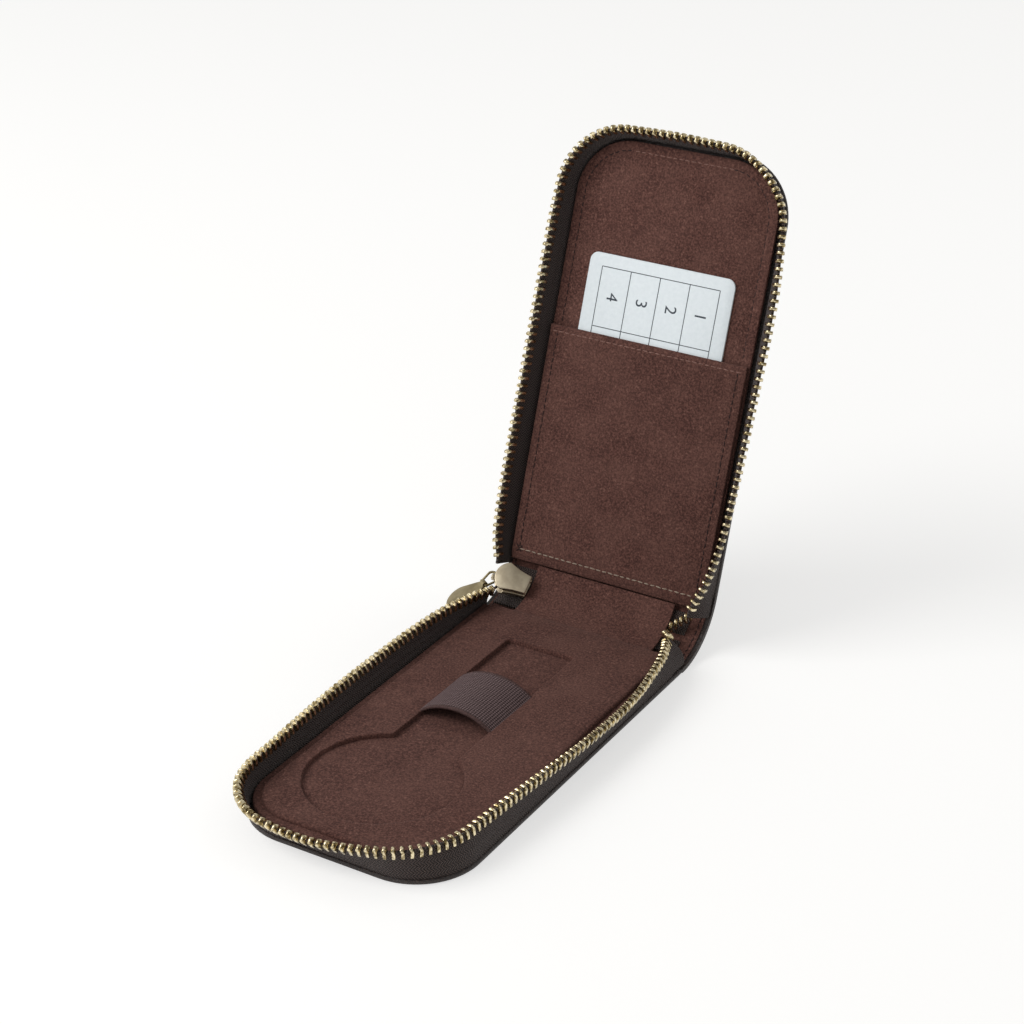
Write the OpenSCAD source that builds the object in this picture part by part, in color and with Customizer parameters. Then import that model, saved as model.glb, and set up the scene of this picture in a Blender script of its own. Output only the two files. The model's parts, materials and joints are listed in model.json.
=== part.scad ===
/* [Base] */
// Width of the leather panels across the case, mm
panel_w = 78; // [74:1:84]
// Length of the base seam from the spine fold to the front, mm
base_seam_len = 146.8; // [142:0.2:152]
// Length of the lid seam from the spine fold to the top, mm
lid_seam_len = 148.6; // [144:0.2:154]
// Corner radius of the seam at the free ends, mm
seam_r = 20; // [16:1:23]
// Thickness of the outer leather, mm
leather_t = 1.6; // [1.2:0.1:1.8]

/* [Opening] */
// Slope of the spine chord above the table in the open pose, degrees
spine_slope = 27.9; // [26:0.1:30]
// Slope of the lid above the table in the open pose, degrees
lid_slope = 70.75; // [69:0.25:72]

/* [Insert] */
// Radius of the round recess in the insert, mm
recess_r = 24.5; // [21:0.5:25]
// Width of the channel behind the recess, mm
channel_w = 25; // [20:1:27]
// Width of the elastic band along the case, mm
band_w = 24; // [16:1:26]
// Height of the elastic arch above the insert, mm
band_rise = 4.8; // [4:0.2:6]

/* [Pocket and card] */
// Height of the pocket edge above the lid fold, mm
pocket_h = 82.7; // [70:0.1:90]
// Width of the card, mm
card_w = 54; // [50:1:56]
// Length of the card, mm
card_l = 85.6; // [80:0.2:88]

/* [Zip] */
// Teeth in each row
row_teeth = 142; // [120:1:145]
// Width of the zip tape wall from seam to tooth, mm
wall_w = 9; // [8.5:0.1:9.1]
// Thickness of a tooth along the row, mm
tooth_t = 1.25; // [1:0.05:1.3]

/* [Hidden] */

leather_col = [0.2, 0.15, 0.14];
suede_col = [0.33, 0.2, 0.19];
board_col = [0.6, 0.56, 0.5];
foam_col = [0.2, 0.2, 0.2];
tape_col = [0.09, 0.08, 0.09];
brass_col = [0.7, 0.6, 0.4];
band_col = [0.28, 0.21, 0.22];
card_col = [0.9, 0.92, 0.94];

// y of the base fold, where the lining of the base ends
fold_y = 72.4;
// level of the lining above the outer face, in both panels
lining_z = 4.6;
board_t = 1.2;
suede_t = 0.8;
half_w = panel_w / 2;
seam_x = half_w - 1;
// centre of the leather arc behind the spine
arc_r = 25;
arc_y = 71.75;
// where the lid lining meets the spine lining, in the y z plane
lid_foot_y = 89.4;
lid_foot_z = 13.6;
lid_face_y = lid_foot_y + lining_z * sin(lid_slope);
lid_face_z = lid_foot_z - lining_z * cos(lid_slope);
// leather of the lid starts where the arc ends
lid_arc_s = 4.9;

// middle of the insert layout, a little left of the centre line
layout_x = -3.5;
recess_x = layout_x - 1.5;
recess_y = -38.5;
insert_top = 6;
recess_floor = 3.4;
channel_end = 52.5;
// y of the front edge of the elastic band
band_y = 0;

tape_t = 0.8;
seam_z = 1.65;
// foot of the leaning part of the tape wall, and the bend below it, above the seam
wall_foot = 0.95;
knee_h = 3.3;
// gap between the top of the wall and the crown of a tooth
crown_gap = 0.3;
tooth_half_w = 1.3;
tooth_leg = 1.7;
tooth_head = 0.6;
// room between the tape and each leg of a tooth
slot_gap = 0.32;
// teeth at each end of a row that bend with the spine, made as nodes of their own
end_teeth = 4;

// outward lean of the tape wall at the tooth line, by distance along the seam from the left fold
base_left = [[0, -4.3], [10, -1.7], [24, 1.2], [44, 3.2], [78, 3.6], [104, 2.2], [122, 0.8]];
base_front = [[132, 1.1], [141, 3.2], [150, 5], [159, 6], [168, 6.4], [177, 6.1], [187, 4.8]];
base_right = [[196, 2.8], [204, 0.8], [212, -1.2], [221, -1.9], [238, -0.4], [257, 1.3], [279, 3]];
base_rear = [[302, 3.8], [315, 3.3], [325, 2.1], [340, -0.8], [349, -4.3]];
base_lean = concat(base_left, base_front, base_right, base_rear);
lid_left = [[0, 0.6], [8, 2.8], [22, 3.8], [64, 3.4], [115, 2.8], [127, 2.2], [142, 2.1]];
lid_top = [[158, 2.6], [176, 3.1], [194, 2.7], [210, 2], [225, 3.6], [248, 5.2], [287, 4.9]];
lid_right = [[310, 4.4], [331, 3.2], [345, 0.7], [352, -2.2]];
lid_lean = concat(lid_left, lid_top, lid_right);

function seg(t, u, i = 0) = (i >= len(t) - 2 || u < t[i + 1][0]) ? i : seg(t, u, i + 1);
function rate(t, a, b) = (t[b][1] - t[a][1]) / (t[b][0] - t[a][0]);
function slope(t, i) = rate(t, max(i - 1, 0), min(i + 1, len(t) - 1));
function ease(a, b, h, ma, mb, k) =
  (2 * k * k * k - 3 * k * k + 1) * a + (k * k * k - 2 * k * k + k) * h * ma
  + (3 * k * k - 2 * k * k * k) * b + (k * k * k - k * k) * h * mb;
function glide(t, u) =
  let (i = seg(t, u), h = t[i + 1][0] - t[i][0], k = (u - t[i][0]) / h)
  ease(t[i][1], t[i + 1][1], h, slope(t, i), slope(t, i + 1), k);

// seam line in panel terms: x, distance from the fold, outward direction
start = 0.5;
function side_len(l) = l - seam_r - start;
function bend_len() = PI * seam_r / 2;
function front_len() = 2 * (seam_x - seam_r);
function seam_total(l) = 2 * side_len(l) + 2 * bend_len() + front_len();
function arc_pt(cx, cy, a) = [cx + seam_r * cos(a), cy + seam_r * sin(a), cos(a), sin(a)];
function seam_at(l, u) =
  let (s = side_len(l), b = bend_len(), f = front_len(), c = seam_x - seam_r)
  u < s ? [-seam_x, start + u, -1, 0]
  : u < s + b ? arc_pt(-c, l - seam_r, 180 - (u - s) / b * 90)
  : u < s + b + f ? [-c + u - s - b, l, 0, 1]
  : u < s + 2 * b + f ? arc_pt(c, l - seam_r, 90 - (u - s - b - f) / b * 90)
  : [seam_x, l - seam_r - (u - s - 2 * b - f), 1, 0];
function out_at(l, t, u, o, z) = let (p = seam_at(l, u)) [p[0] + o * p[2], p[1] + o * p[3], z];
function rise(o, w) = sqrt(w * w - o * o);
function tooth_at(l, t, u) =
  let (o = glide(t, u)) out_at(l, t, u, o, seam_z + wall_foot + rise(o, wall_w));

// the teeth stand evenly along their own line: distance along it, and along the seam below
run_step = 1;
function run_table(l, t) =
  [for (u = 0, s = 0; u <= seam_total(l) + run_step;
        s = s + norm(tooth_at(l, t, u + run_step) - tooth_at(l, t, u)), u = u + run_step) [s, u]];
function tooth_u(l, run, i) =
  let (m = len(run) - 2, part = seam_total(l) - run[m][1])
  let (total = run[m][0] + (run[m + 1][0] - run[m][0]) * part / run_step)
  lookup((i + 0.5) / row_teeth * total, run);

// the foot of the wall stands a little higher where it runs over the end of the spine leather
end_run = 6;
end_lift = 0.6;
function foot(l, u) = seam_z + (min(u, seam_total(l) - u) < end_run ? end_lift : 0);

// one cross section of the tape wall: inner and outer side, three heights each
function knee(o) = o > 0 ? 0.35 * o : 0.05 * o;
function tape_ring(l, t, u) =
  let (o = glide(t, u), w = tape_t / 2, top = wall_w + tooth_head - crown_gap, k = knee(o))
  let (a = o / wall_w, c = rise(o, wall_w) / wall_w, o2 = a * top, z2 = seam_z + wall_foot + c * top)
  let (zk = seam_z + knee_h, zf = foot(l, u))
  [out_at(l, t, u, -w, zf), out_at(l, t, u, k - w, zk),
   out_at(l, t, u, o2 - w * c, z2 + w * a), out_at(l, t, u, o2 + w * c, z2 - w * a),
   out_at(l, t, u, k + w, zk), out_at(l, t, u, w, zf)];

// the tape wall beside the teeth from first to last
module tape_wall(l, t, first, last) {
  n = last - first + 1;
  m = 6;
  pitch = seam_total(l) / row_teeth;
  pts = [for (i = [0:n]) each tape_ring(l, t, (first + i) * pitch)];
  sides = [for (i = [0:n - 1], j = [0:m - 1])
    let (a = i * m + j, b = i * m + (j + 1) % m) each [[a, b, b + m], [a, b + m, a + m]]];
  caps = [[for (j = [m - 1:-1:0]) j], [for (j = [0:m - 1]) n * m + j]];
  polyhedron(points = pts, faces = concat(sides, caps), convexity = 10);
}

// one zip tooth: two legs over the tape, a rounded head with a nib, upright at the origin
module tooth() {
  intersection() {
    rotate([90, 0, 0]) linear_extrude(height = 3, center = true) tooth_front();
    rotate([90, 0, 90]) linear_extrude(height = 5, center = true) tooth_side();
  }
}

module tooth_front() {
  difference() {
    union() {
      translate([0, tooth_head]) circle(r = tooth_half_w, $fn = 32);
      translate([-tooth_half_w, -tooth_leg]) square([2 * tooth_half_w, tooth_leg + tooth_head]);
    }
    translate([-tape_t / 2 - slot_gap, -tooth_leg - 1])
      square([tape_t + 2 * slot_gap, tooth_leg + 1 + tooth_head]);
  }
}

module tooth_side() {
  h = tooth_t / 2;
  top = tooth_head + tooth_half_w;
  polygon([[-h, -tooth_leg], [h, -tooth_leg], [h, 0.55], [h + 0.2, 0.95], [h + 0.1, 1.35], [0.25, 1.5],
           [0.2, top], [-0.35, top], [-h, 1.05]]);
}

module teeth_row(l, t, first, last) {
  run = run_table(l, t);
  for (i = [first:last]) {
    u = tooth_u(l, run, i);
    p = tooth_at(l, t, u);
    a = tooth_at(l, t, u - 0.6);
    b = tooth_at(l, t, u + 0.6);
    turn = atan2(b[0] - a[0], a[1] - b[1]);
    translate(p) rotate([0, 0, turn]) rotate([0, asin(glide(t, u) / wall_w), 0]) tooth();
  }
}

// flat outline of a panel, its free corners rounded, from s0 to s1 away from the fold
module panel_shape(w, s0, s1, r) {
  translate([-w, s0]) square([2 * w, s1 - s0 - r]);
  translate([-w + r, s0]) square([2 * w - 2 * r, s1 - s0]);
  translate([-w + r, s1 - r]) circle(r = r, $fn = 96);
  translate([w - r, s1 - r]) circle(r = r, $fn = 96);
}

module slab(z, t) {
  translate([0, 0, z]) linear_extrude(height = t) children();
}

// panel terms to the base: the distance from the fold runs to the front
module on_base() {
  translate([0, fold_y, 0]) mirror([0, 1, 0]) children();
}

module on_lid() {
  translate([0, lid_face_y, lid_face_z]) rotate([lid_slope, 0, 0]) children();
}

// spine terms: x, distance along the chord from the base fold, height above the lining
module on_spine() {
  translate([0, fold_y, lining_z]) rotate([spine_slope, 0, 0]) children();
}

// curved strip of the spine between two radii and two angles, x0 to x1
module spine_strip(x0, x1, r0, r1, a0, a1) {
  translate([x0, arc_y, arc_r]) rotate([90, 0, 90]) linear_extrude(height = x1 - x0)
    difference() {
      intersection() {
        circle(r = r1, $fn = 180);
        polygon([[0, 0], 60 * [sin(a0), -cos(a0)], 80 * [sin((a0 + a1) / 2), -cos((a0 + a1) / 2)],
                 60 * [sin(a1), -cos(a1)]]);
      }
      circle(r = r0, $fn = 180);
    }
}

module base_leather() {
  color(leather_col) on_base() slab(0, leather_t)
    panel_shape(half_w, fold_y - arc_y, base_seam_len + 1, seam_r + 1);
}

module base_board() {
  color(board_col) on_base() slab(leather_t, board_t)
    panel_shape(half_w - 3.5, 6, base_seam_len - 2.5, seam_r - 2);
}

module insert_outline(g) {
  panel_shape(seam_x - 3.6 - g, 2.4 + g, base_seam_len - 3.6 - g, seam_r - 4 - g);
}

module insert_hollow(g) {
  translate([recess_x, fold_y - recess_y]) circle(r = recess_r + g, $fn = 96);
  translate([layout_x - channel_w / 2 - g, fold_y - channel_end - g])
    square([channel_w + 2 * g, channel_end - recess_y + g]);
}

module base_lining() {
  color(suede_col) on_base() {
    slab(leather_t + board_t, lining_z - leather_t - board_t) difference() {
      panel_shape(seam_x - 0.9, 1.4, base_seam_len - 0.9, seam_r - 1);
      insert_outline(-0.05);
    }
  }
}

module insert_foam() {
  color(foam_col) on_base() {
    slab(leather_t + board_t, insert_top - suede_t - leather_t - board_t) difference() {
      insert_outline(suede_t);
      insert_hollow(suede_t);
    }
  }
}

// suede over the foam: top, outer sides, sides and floor of the hollow
module insert_cover() {
  low = leather_t + board_t;
  color(suede_col) on_base() {
    difference() {
      slab(low, insert_top - low) insert_outline(0);
      slab(low - 1, insert_top - suede_t - low + 1) difference() {
        insert_outline(suede_t);
        insert_hollow(suede_t);
      }
      slab(recess_floor, insert_top) insert_hollow(0);
    }
  }
}

module elastic_band() {
  half = channel_w / 2 + 1.6;
  r = (half * half + band_rise * band_rise) / (2 * band_rise);
  color(band_col) translate([layout_x, band_y + band_w, insert_top]) rotate([90, 0, 0])
    linear_extrude(height = band_w) intersection() {
      translate([0, band_rise - r]) difference() {
        circle(r = r, $fn = 160);
        circle(r = r - 1.2, $fn = 160);
      }
      translate([-half - 1, 0]) square([2 * half + 2, band_rise + 1]);
    }
}

// the long stretch of a row, and its two short ends
last_tooth = row_teeth - 1;
module tape_middle(l, t) {
  tape_wall(l, t, end_teeth, last_tooth - end_teeth);
}

module tape_tips(l, t) {
  tape_wall(l, t, 0, end_teeth - 1);
  tape_wall(l, t, row_teeth - end_teeth, last_tooth);
}

module teeth_middle(l, t) {
  teeth_row(l, t, end_teeth, last_tooth - end_teeth);
}

module teeth_tips(l, t) {
  teeth_row(l, t, 0, end_teeth - 1);
  teeth_row(l, t, row_teeth - end_teeth, last_tooth);
}

module base_tape() {
  color(tape_col) on_base() tape_middle(base_seam_len, base_lean);
}

module base_teeth() {
  color(brass_col) on_base() teeth_middle(base_seam_len, base_lean);
}

module base_tape_ends() {
  color(tape_col) on_base() tape_tips(base_seam_len, base_lean);
}

module base_teeth_ends() {
  color(brass_col) on_base() teeth_tips(base_seam_len, base_lean);
}

module spine_leather() {
  color(leather_col) spine_strip(-half_w, half_w, arc_r - leather_t, arc_r, 0.15, lid_slope - 0.15);
}

module spine_facing() {
  color(suede_col) spine_strip(-half_w + 1.6, half_w - 1.6, arc_r - leather_t - 0.6,
    arc_r - leather_t, 8, lid_slope - 8);
}

module spine_padding() {
  color(foam_col) spine_strip(-23.5, 23.5, 21.25, 22.8, 11, 53);
}

module spine_lining() {
  color(suede_col) spine_strip(-25.9, 26.7, 20.4, 21.2, 3, 55.8);
}

// tape laid flat on the spine, split along the chain
module tape_ends(x0, x1) {
  spine_strip(x0, x1, 22, 22.75, 11, 26.5);
  spine_strip(x0, x1, 22, 22.75, 33.5, 53);
}

module tape_end_left() {
  color(tape_col) tape_ends(-36.4, -23.7);
}

module tape_end_right() {
  color(tape_col) tape_ends(23.7, 32.8);
}

// the last teeth of both rows, curling in to where the chain is tucked under the spine lining
module chain_end_right() {
  from_base = [[32.8, 73.6, 10.4], [28.6, 79.2, 7.8]];
  from_lid = [[34.6, 84.9, 14.2], [28.6, 82.6, 9.2]];
  color(brass_col) {
    for (k = [0:4]) translate(from_base[0] + (from_base[1] - from_base[0]) * k / 4)
      rotate([spine_slope, 0, 0]) rotate([0, 0, 48]) tooth();
    for (k = [0:4]) translate(from_lid[0] + (from_lid[1] - from_lid[0]) * k / 4)
      rotate([spine_slope, 0, 0]) rotate([0, 0, -70]) tooth();
  }
}

module lid_leather() {
  color(leather_col) on_lid() slab(0, leather_t)
    panel_shape(half_w, lid_arc_s, lid_seam_len + 1, seam_r + 1);
}

module lid_board() {
  color(board_col) on_lid() slab(leather_t, board_t)
    panel_shape(half_w - 3.5, 6.5, lid_seam_len - 2.5, seam_r - 2);
}

module lid_padding() {
  color(foam_col) on_lid() slab(leather_t + board_t, lining_z - suede_t - leather_t - board_t)
    panel_shape(half_w - 4, 6.5, lid_seam_len - 3, seam_r - 3);
}

module lid_lining() {
  color(suede_col) on_lid() slab(lining_z - suede_t, suede_t)
    panel_shape(seam_x - 0.9, 0.6, lid_seam_len - 0.9, seam_r - 1);
}

pocket_gap = 0.95;
card_top = 109.6;

module pocket_panel() {
  color(suede_col) on_lid() {
    slab(lining_z + pocket_gap, suede_t) translate([-seam_x + 1.2, 0.8])
      square([2 * seam_x - 2.4, pocket_h - 0.8]);
    slab(lining_z, pocket_gap) difference() {
      translate([-seam_x + 1.2, 0.8]) square([2 * seam_x - 2.4, pocket_h - 0.8]);
      translate([-card_w / 2 - 1.2, card_top - card_l - 1.2]) square([card_w + 2.4, card_l]);
    }
  }
}

module lid_tape() {
  color(tape_col) on_lid() tape_middle(lid_seam_len, lid_lean);
}

module lid_teeth() {
  color(brass_col) on_lid() teeth_middle(lid_seam_len, lid_lean);
}

module lid_tape_ends() {
  color(tape_col) on_lid() tape_tips(lid_seam_len, lid_lean);
}

module lid_teeth_ends() {
  color(brass_col) on_lid() teeth_tips(lid_seam_len, lid_lean);
}

module id_card() {
  r = 3;
  color(card_col) on_lid() slab(lining_z + 0.08, 0.76)
    translate([-card_w / 2, card_top - card_l]) {
      translate([r, 0]) square([card_w - 2 * r, card_l]);
      translate([0, r]) square([card_w, card_l - 2 * r]);
      for (x = [r, card_w - r], y = [r, card_l - r]) translate([x, y]) circle(r = r, $fn = 48);
    }
}

// slider: its own terms have x from the shoulders to the narrow end, and z toward the inside
slider_at = [-32.93, 9.35, 4.85];
slider_turn = [8.4, 19.4, 3.2];
plate_t = 0.8;
throat = 1.8;
wide_half = 5.2;
narrow_half = 3.3;
plate_l = 8.55;
nose_r = 5.6;
flank_r = 27.6;
lip = 0.9;
bridge_w = 1.6;
bridge_gap = 1.7;
bridge_t = 0.8;

module on_slider() {
  on_spine() translate(slider_at) rotate(slider_turn) translate([0, 0, -throat - plate_t]) children();
}

// plate outline, g inside the edge: round nose, flanks slightly hollow, straight narrow end
module plate_shape(g, l) {
  a = wide_half - g;
  b = narrow_half - g;
  lean = atan2(wide_half - narrow_half, plate_l);
  intersection() {
    translate([sqrt(nose_r * nose_r - wide_half * wide_half), 0]) circle(r = nose_r - g, $fn = 96);
    translate([-2 * nose_r, -nose_r]) square([2 * nose_r, 2 * nose_r]);
  }
  difference() {
    polygon([[0, -a], [0, a], [l, b - (l - plate_l) * tan(lean)], [l, -b + (l - plate_l) * tan(lean)]]);
    for (m = [-1, 1])
      translate([plate_l / 2, m * (wide_half + narrow_half) / 2]) rotate([0, 0, -m * lean])
        translate([0, m * (flank_r - 0.35)]) circle(r = flank_r + g, $fn = 180);
  }
}

// one plate with the lips that guide the tape along its flanks
module slider_plate() {
  slab(throat, plate_t) plate_shape(0, plate_l);
  slab(throat - 1.1, 1.1) difference() {
    plate_shape(0, plate_l);
    plate_shape(lip, plate_l + 1);
    translate([-10, -20]) square([10.8, 40]);
  }
}

module slider_back_plate() {
  color(brass_col) on_slider() slider_plate();
}

module slider_front_plate() {
  color(brass_col) on_slider() mirror([0, 0, 1]) slider_plate();
}

// wedge between the plates that parts the two rows
module slider_post() {
  color(brass_col) on_slider() slab(-throat, 2 * throat)
    polygon([[-3, 0], [-1.4, -1.5], [1.6, 0], [-1.4, 1.5]]);
}

// arch along the back of the front plate that carries the pull
module slider_bridge() {
  h = bridge_gap + bridge_t;
  color(brass_col) on_slider() translate([0, bridge_w / 2, -throat - plate_t]) rotate([90, 0, 0])
    linear_extrude(height = bridge_w) difference() {
      translate([-5.2, -h]) square([8.2, h]);
      translate([-4, -bridge_gap]) square([5.8, bridge_gap]);
    }
}

// pull: a bent wire link round the bridge, and a tab whose round end lies on the table
pull_at = [-39.52, 80.52, 9.66];
pull_turn = 234.4;
pull_drop = 28.9;
hook_r = 1.9;
hook_roll = -36.9;
wire_r = 0.45;
link_l = 3.6;
tab_r = 6;
tab_reach = 12.7;
tab_t = 1.1;
eye_r = 1.05;

module on_pull() {
  translate(pull_at) rotate([0, pull_drop, pull_turn]) children();
}

// round bar from a to b
module wire(a, b, r) {
  d = b - a;
  translate(a) rotate([0, acos(d[2] / norm(d)), atan2(d[1], d[0])]) cylinder(r = r, h = norm(d), $fn = 48);
}

module pull_link() {
  leg_r = wire_r - 0.04;
  color(brass_col) on_pull() {
    rotate([hook_roll, 0, 0]) rotate([0, 0, 90]) rotate_extrude(angle = 180, $fn = 64)
      translate([hook_r, 0]) circle(r = wire_r, $fn = 48);
    for (m = [-1, 1]) {
      start = [0, m * hook_r * cos(hook_roll), m * hook_r * sin(hook_roll)];
      corner = [link_l, m * hook_r, 0];
      wire(start - 0.1 * (corner - start), corner, leg_r);
    }
    wire([link_l, -hook_r - wire_r, 0], [link_l, hook_r + wire_r, 0], wire_r);
  }
}

// tab: a teardrop plate whose narrow end is rolled round the link
module pull_tab() {
  neck = 1.25;
  a = asin((tab_r - neck) / (tab_reach - link_l));
  slant = (tab_r * cos(a) - neck) / (tab_reach - tab_r * sin(a) - link_l);
  from = link_l + eye_r - 0.3;
  low = neck + slant * (from - link_l);
  color(brass_col) on_pull() {
    slab(-tab_t / 2, tab_t) {
      translate([tab_reach, 0]) circle(r = tab_r, $fn = 96);
      polygon([[from, -low], [from, low], [tab_reach - tab_r * sin(a), tab_r * cos(a)],
               [tab_reach - tab_r * sin(a), -tab_r * cos(a)]]);
    }
    translate([link_l, 0, 0]) rotate([90, 0, 0]) difference() {
      cylinder(r = eye_r, h = 2 * neck, center = true, $fn = 48);
      cylinder(r = wire_r + 0.06, h = 2 * neck + 1, center = true, $fn = 48);
    }
  }
}

base_leather();
base_board();
base_lining();
insert_foam();
insert_cover();
elastic_band();
base_tape();
base_teeth();
base_tape_ends();
base_teeth_ends();
spine_leather();
spine_facing();
spine_padding();
spine_lining();
tape_end_left();
tape_end_right();
chain_end_right();
lid_leather();
lid_board();
lid_padding();
lid_lining();
pocket_panel();
lid_tape();
lid_teeth();
lid_tape_ends();
lid_teeth_ends();
slider_front_plate();
slider_back_plate();
slider_post();
slider_bridge();
pull_link();
pull_tab();
id_card();
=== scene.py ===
"""Zip-round leather travel case, standing open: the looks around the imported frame."""

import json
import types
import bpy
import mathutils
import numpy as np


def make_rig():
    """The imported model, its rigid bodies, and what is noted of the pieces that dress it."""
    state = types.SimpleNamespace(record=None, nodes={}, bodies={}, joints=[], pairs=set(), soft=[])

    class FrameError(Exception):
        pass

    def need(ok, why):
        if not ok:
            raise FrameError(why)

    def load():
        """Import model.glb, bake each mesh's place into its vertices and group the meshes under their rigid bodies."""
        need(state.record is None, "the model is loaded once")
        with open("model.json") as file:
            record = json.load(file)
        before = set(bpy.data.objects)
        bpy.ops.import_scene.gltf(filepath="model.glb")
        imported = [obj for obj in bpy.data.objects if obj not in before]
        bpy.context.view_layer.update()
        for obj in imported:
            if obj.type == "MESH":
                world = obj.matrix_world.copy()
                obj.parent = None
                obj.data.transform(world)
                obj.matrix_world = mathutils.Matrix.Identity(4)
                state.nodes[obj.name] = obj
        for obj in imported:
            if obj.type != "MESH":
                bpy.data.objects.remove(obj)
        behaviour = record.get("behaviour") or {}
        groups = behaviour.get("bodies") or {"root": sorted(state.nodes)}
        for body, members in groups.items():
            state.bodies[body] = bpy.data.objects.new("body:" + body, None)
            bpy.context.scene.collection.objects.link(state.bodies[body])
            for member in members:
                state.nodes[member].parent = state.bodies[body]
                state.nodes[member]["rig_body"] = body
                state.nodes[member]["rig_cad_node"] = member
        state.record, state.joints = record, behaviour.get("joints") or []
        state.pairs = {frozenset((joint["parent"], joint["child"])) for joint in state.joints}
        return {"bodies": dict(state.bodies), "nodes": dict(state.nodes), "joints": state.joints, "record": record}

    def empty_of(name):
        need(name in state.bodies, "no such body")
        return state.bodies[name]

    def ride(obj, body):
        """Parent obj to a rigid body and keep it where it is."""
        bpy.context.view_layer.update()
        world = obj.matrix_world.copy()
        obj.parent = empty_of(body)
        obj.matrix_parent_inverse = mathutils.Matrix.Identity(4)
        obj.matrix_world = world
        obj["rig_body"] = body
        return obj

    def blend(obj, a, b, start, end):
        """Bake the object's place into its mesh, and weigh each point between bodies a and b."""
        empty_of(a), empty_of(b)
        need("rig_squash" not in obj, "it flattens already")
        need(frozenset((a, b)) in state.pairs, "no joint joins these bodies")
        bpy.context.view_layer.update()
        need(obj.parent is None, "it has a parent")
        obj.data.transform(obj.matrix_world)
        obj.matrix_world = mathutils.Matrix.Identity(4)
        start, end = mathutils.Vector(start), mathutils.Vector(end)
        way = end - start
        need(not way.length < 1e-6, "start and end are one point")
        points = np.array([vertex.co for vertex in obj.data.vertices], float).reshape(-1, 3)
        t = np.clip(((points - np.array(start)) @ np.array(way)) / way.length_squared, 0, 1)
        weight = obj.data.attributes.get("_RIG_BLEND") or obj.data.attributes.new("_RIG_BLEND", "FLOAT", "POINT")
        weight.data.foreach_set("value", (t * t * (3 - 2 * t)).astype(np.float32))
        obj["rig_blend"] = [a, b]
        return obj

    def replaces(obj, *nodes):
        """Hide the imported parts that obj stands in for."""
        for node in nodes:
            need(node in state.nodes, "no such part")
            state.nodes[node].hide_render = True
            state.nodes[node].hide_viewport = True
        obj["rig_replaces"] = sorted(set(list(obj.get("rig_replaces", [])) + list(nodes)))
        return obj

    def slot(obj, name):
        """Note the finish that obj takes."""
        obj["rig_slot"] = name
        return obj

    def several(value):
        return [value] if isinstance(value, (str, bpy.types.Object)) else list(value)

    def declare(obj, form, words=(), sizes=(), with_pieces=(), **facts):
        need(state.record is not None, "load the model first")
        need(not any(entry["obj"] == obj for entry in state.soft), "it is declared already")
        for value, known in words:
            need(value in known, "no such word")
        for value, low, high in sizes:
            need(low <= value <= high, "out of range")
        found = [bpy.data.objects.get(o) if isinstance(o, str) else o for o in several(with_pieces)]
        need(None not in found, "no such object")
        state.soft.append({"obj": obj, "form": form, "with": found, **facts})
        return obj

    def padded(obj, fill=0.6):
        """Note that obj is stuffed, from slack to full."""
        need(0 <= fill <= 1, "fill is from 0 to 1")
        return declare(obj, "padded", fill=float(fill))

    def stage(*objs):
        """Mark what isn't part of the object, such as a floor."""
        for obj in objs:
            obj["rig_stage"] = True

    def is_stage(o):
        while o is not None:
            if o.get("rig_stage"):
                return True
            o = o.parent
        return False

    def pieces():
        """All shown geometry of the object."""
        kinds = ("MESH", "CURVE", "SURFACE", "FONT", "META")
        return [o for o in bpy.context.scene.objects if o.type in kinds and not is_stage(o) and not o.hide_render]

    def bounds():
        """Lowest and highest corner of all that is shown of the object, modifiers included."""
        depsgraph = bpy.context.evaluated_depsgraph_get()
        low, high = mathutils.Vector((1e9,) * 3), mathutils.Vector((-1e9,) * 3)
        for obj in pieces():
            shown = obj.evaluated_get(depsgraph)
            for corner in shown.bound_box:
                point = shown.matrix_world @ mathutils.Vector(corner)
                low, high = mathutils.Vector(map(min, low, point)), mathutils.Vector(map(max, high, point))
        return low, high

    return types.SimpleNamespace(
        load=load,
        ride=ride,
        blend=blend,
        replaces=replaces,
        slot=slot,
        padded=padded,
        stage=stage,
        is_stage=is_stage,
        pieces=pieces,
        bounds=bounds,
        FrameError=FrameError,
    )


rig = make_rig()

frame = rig.load()
cad_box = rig.bounds()

import json
import math

import bpy
from mathutils import Matrix, Vector

# Lengths are in millimetres, and turned to metres when a piece is placed. Panel terms are x across the
# case, y from the panel's fold to its free end, and z up from its outer face.
MM = 0.001

# Panels: half width, the seam line within their edge, and the layers in from the seam line
PANEL_HALF = 39.0
SEAM_HALF = 38.0
SEAM_R = 20.0
SEAM_Z = 1.65
EDGE_OUT = PANEL_HALF - SEAM_HALF
BASE_LEN = 146.8
LID_LEN = 148.6
LEATHER = 1.6
LEATHER_ROUND = 0.55
LINING_Z = 4.6
LINING_IN = 0.9
LINING_R = SEAM_R - 1
STITCH_IN = 3.2

# Folds, and the leather arc behind the spine
FOLD_Y = 72.4
LID_FOOT = (89.4, 13.6)
LID_ARC_S = 4.9
ARC_R = 25.0
ARC_Y = 71.75
SPINE_SLOPE = math.radians(27.9)
LID_SLOPE = math.radians(70.75)

# Insert and elastic band: RECESS_AT and CHANNEL_END are in panel terms, BAND_Y is in the frame's
LAYOUT_X = -3.5
INSERT_TOP = 6.0
RECESS_AT = (-5.0, 110.9)
RECESS_R = 24.5
RECESS_FLOOR = 2.9
CHANNEL_W = 25.0
CHANNEL_END = 19.9
BAND_Y = (0.0, 24.0)
BAND_LEN = BAND_Y[1] - BAND_Y[0]
BAND_RISE = 4.8

# Pocket and card
POCKET_H = 82.7
POCKET_HALF = SEAM_HALF - 1.2
POCKET_FLOOR = 5.55
POCKET_TOP = 6.35
POCKET_START = 0.8
HEM_RISE = 0.22
CARD_HALF = 27.0
CARD_FACE = 5.44

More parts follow.
